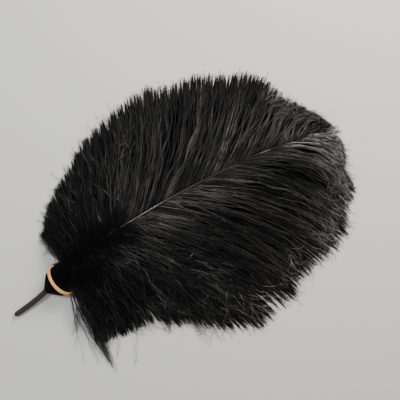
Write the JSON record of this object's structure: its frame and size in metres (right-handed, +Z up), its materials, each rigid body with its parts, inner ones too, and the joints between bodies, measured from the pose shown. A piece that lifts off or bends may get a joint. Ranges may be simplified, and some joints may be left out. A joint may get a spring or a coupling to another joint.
{
  "type": "ostrich feather",
  "caption": "Black ostrich plume with a slender shaft, wide soft vanes of long curling barbs and a bare quill, its downy base gathered by a flat tan rubber band.",
  "frame": {"origin": "on the surface that the plume lies on, under the middle of its bounding box", "axes": "+X along the plume from the quill to the tip, +Y towards the narrower vane, +Z up from the surface"},
  "size_m": [0.295, 0.2151, 0.023],
  "materials": {
    "plume": "satin",
    "band": "satin"
  },
  "bodies": {
    "root": {"feather": "plume", "rubber_band": "band"}
  },
  "joints": []
}
